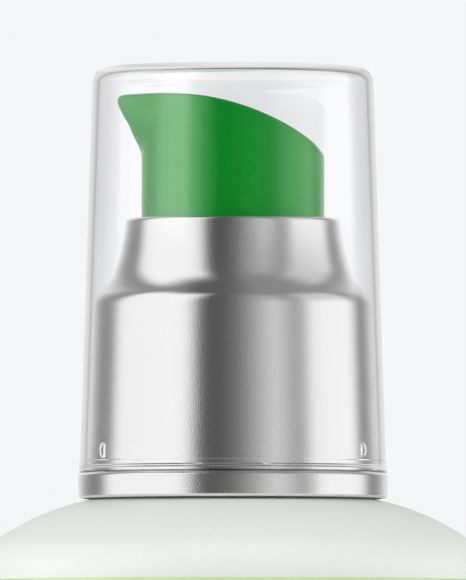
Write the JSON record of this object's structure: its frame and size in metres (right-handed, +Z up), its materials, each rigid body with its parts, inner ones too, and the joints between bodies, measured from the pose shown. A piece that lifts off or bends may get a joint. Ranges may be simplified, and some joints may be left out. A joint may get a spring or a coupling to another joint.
{
  "type": "pump bottle",
  "caption": "Round frosted bottle with a wide shoulder, a screw-on metal collar, a spouted push pump with dip tube and a clear lift-off cap.",
  "frame": {"origin": "centre of the bottle's base, on the surface it stands on", "axes": "+Z up along the bottle's axis; the spout points to -X; -Y is the front seen in the reference view"},
  "size_m": [0.041, 0.041, 0.0987],
  "materials": {
    "frosted_glass": "acid-frosted, milky",
    "label_film": "satin film",
    "gasket_foam": "matt",
    "natural_plastic": "natural, slightly cloudy",
    "white_plastic": "satin",
    "ball_glass": "polished",
    "tube_plastic": "natural, slightly cloudy",
    "spring_steel": "drawn wire",
    "piston_plastic": "waxy",
    "satin_aluminium": "satin anodised",
    "green_plastic": "satin",
    "clear_plastic": "clear, polished"
  },
  "bodies": {
    "container": {"bottle": "frosted_glass", "label": "label_film"},
    "pump": {"neck_gasket": "gasket_foam", "pump_housing": "natural_plastic", "turret": "white_plastic", "spring_seat": "natural_plastic", "dip_tube": "tube_plastic", "return_spring": "spring_steel"},
    "closure": {"inner_closure": "white_plastic", "collar_shell": "satin_aluminium"},
    "cap": {"over_cap": "clear_plastic"},
    "plunger": {"stem": "white_plastic", "piston": "piston_plastic", "piston_retainer": "natural_plastic"},
    "head": {"actuator": "green_plastic", "nozzle_insert": "green_plastic"},
    "inlet_valve": {"inlet_ball": "ball_glass"},
    "outlet_valve": {"outlet_ball": "ball_glass"}
  },
  "joints": [
    {"name": "pump_lift", "type": "slide", "parent": "container", "child": "pump", "axis": [0, 0, 1], "range_m": [0, 0.00476]},
    {"name": "closure_turn", "type": "hinge", "parent": "pump", "child": "closure", "pos_m": [0, 0, 0.07], "axis": [0, 0, 1], "range_deg": [0, 540]},
    {"name": "cap_lift", "type": "slide", "parent": "closure", "child": "cap", "axis": [0, 0, 1], "range_m": [0, 0.036]},
    {"name": "pump_stroke", "type": "slide", "parent": "pump", "child": "plunger", "axis": [0, 0, -1], "range_m": [0, 0.0042], "stiffness_N_per_m": 1200, "springref_m": -0.0012, "deforming": ["return_spring"]},
    {"name": "head_turn", "type": "hinge", "parent": "plunger", "child": "head", "pos_m": [0, 0, 0.088], "axis": [0, 0, 1], "continuous": true},
    {"name": "inlet_lift", "type": "slide", "parent": "pump", "child": "inlet_valve", "axis": [0, 0, 1], "range_m": [0, 0.0007]},
    {"name": "outlet_lift", "type": "slide", "parent": "plunger", "child": "outlet_valve", "axis": [0, 0, 1], "range_m": [0, 0.0007]}
  ],
  "couplings": [
    {"joint": "closure_turn", "follows": "pump_lift", "rad_per_m": 1979}
  ]
}
